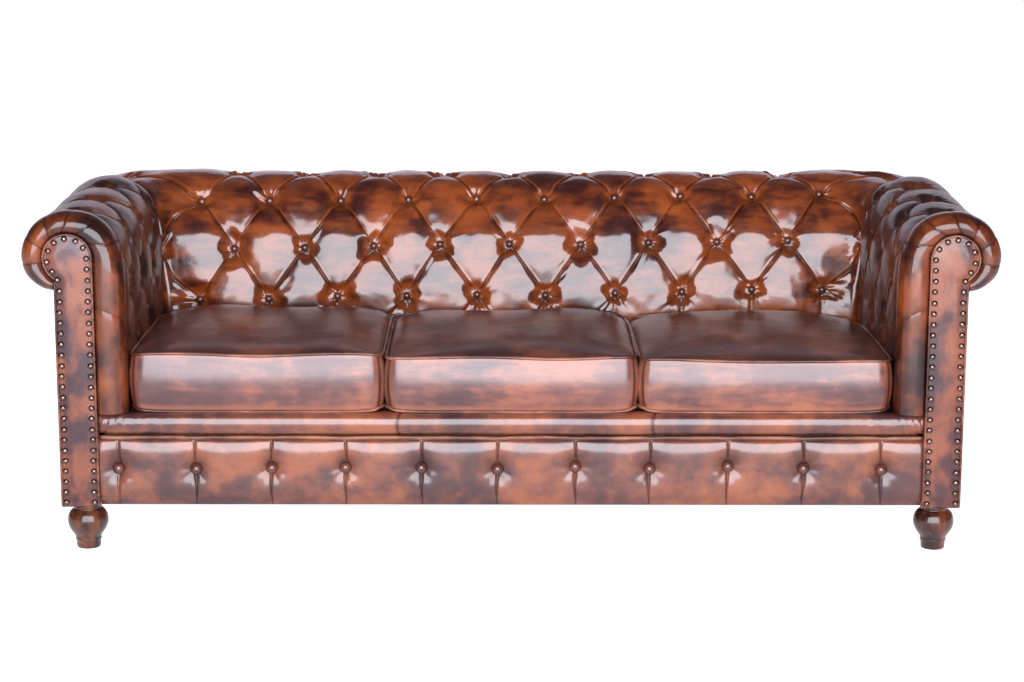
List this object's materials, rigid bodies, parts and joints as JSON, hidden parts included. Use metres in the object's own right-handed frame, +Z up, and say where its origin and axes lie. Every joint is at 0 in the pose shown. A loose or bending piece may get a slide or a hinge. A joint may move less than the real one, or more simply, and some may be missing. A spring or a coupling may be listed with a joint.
{
  "type": "worn leather sofa",
  "caption": "Long buttoned sofa in worn brown leather, with rolled arms and back, loose seat cushions, studded scroll facings and turned feet.",
  "frame": {"origin": "middle of the sofa's footprint, on the floor that the feet stand on", "axes": "+X along the seat, to the right of someone facing the sofa; +Y from the front to the back; +Z up. The sofa faces -Y."},
  "size_m": [2.1, 0.92, 0.745],
  "materials": {
    "buttoned_leather": "antiqued cognac leather, glossy on the puffs and near black round the buttons",
    "plain_leather": "antiqued leather, mottled, worn pale along seams",
    "cushion_leather": "antiqued leather, darker on top, scuffed",
    "facing_leather": "paler antiqued leather with a soft sheen",
    "piping_leather": "worn pale leather over a cord",
    "turned_foot_wood": "dark varnished turned hardwood",
    "frame_hardwood": "plain sawn hardwood",
    "steel": "plain wire and bolts",
    "jute_webbing": "woven jute",
    "hessian": "woven hessian over stuffing",
    "seat_foam": "cut foam",
    "lining_cloth": "thin black lining",
    "antique_brass": "dark bronzed studs with rubbed tops"
  },
  "bodies": {
    "root": {"left_seat_rail": "frame_hardwood", "right_seat_rail": "frame_hardwood", "left_front_foot": "turned_foot_wood", "right_front_foot": "turned_foot_wood", "left_front_foot_bolt": "steel", "right_front_foot_bolt": "steel", "left_front_corner_block": "frame_hardwood", "right_front_corner_block": "frame_hardwood", "left_rear_foot": "turned_foot_wood", "right_rear_foot": "turned_foot_wood", "left_rear_foot_bolt": "steel", "right_rear_foot_bolt": "steel", "left_rear_corner_block": "frame_hardwood", "right_rear_corner_block": "frame_hardwood", "left_front_post": "frame_hardwood", "right_front_post": "frame_hardwood", "left_arm_rail": "frame_hardwood", "right_arm_rail": "frame_hardwood", "left_arm_slat": "frame_hardwood", "right_arm_slat": "frame_hardwood", "left_arm_webbing": "jute_webbing", "right_arm_webbing": "jute_webbing", "left_rear_post": "frame_hardwood", "right_rear_post": "frame_hardwood", "left_inside_arm": "buttoned_leather", "right_inside_arm": "buttoned_leather", "left_arm_border": "plain_leather", "right_arm_border": "plain_leather", "left_facing_panel": "facing_leather", "right_facing_panel": "facing_leather", "left_outside_arm": "plain_leather", "right_outside_arm": "plain_leather", "left_cross_rail": "frame_hardwood", "right_cross_rail": "frame_hardwood", "left_back_post": "frame_hardwood", "right_back_post": "frame_hardwood", "front_seat_rail": "frame_hardwood", "rear_seat_rail": "frame_hardwood", "back_tack_rail": "frame_hardwood", "back_top_rail": "frame_hardwood", "back_webbing": "jute_webbing", "seat_hessian": "hessian", "seat_deck": "hessian", "dust_cover": "lining_cloth", "front_apron": "plain_leather", "front_piping": "piping_leather", "front_border_roll": "plain_leather", "inside_back": "buttoned_leather", "outside_back": "plain_leather", "seat_springs_1": "steel", "cushion_case_1": "cushion_leather", "cushion_core_1": "seat_foam", "seat_springs_2": "steel", "cushion_case_2": "cushion_leather", "cushion_core_2": "seat_foam", "seat_springs_3": "steel", "cushion_case_3": "cushion_leather", "cushion_core_3": "seat_foam"}
  },
  "joints": []
}
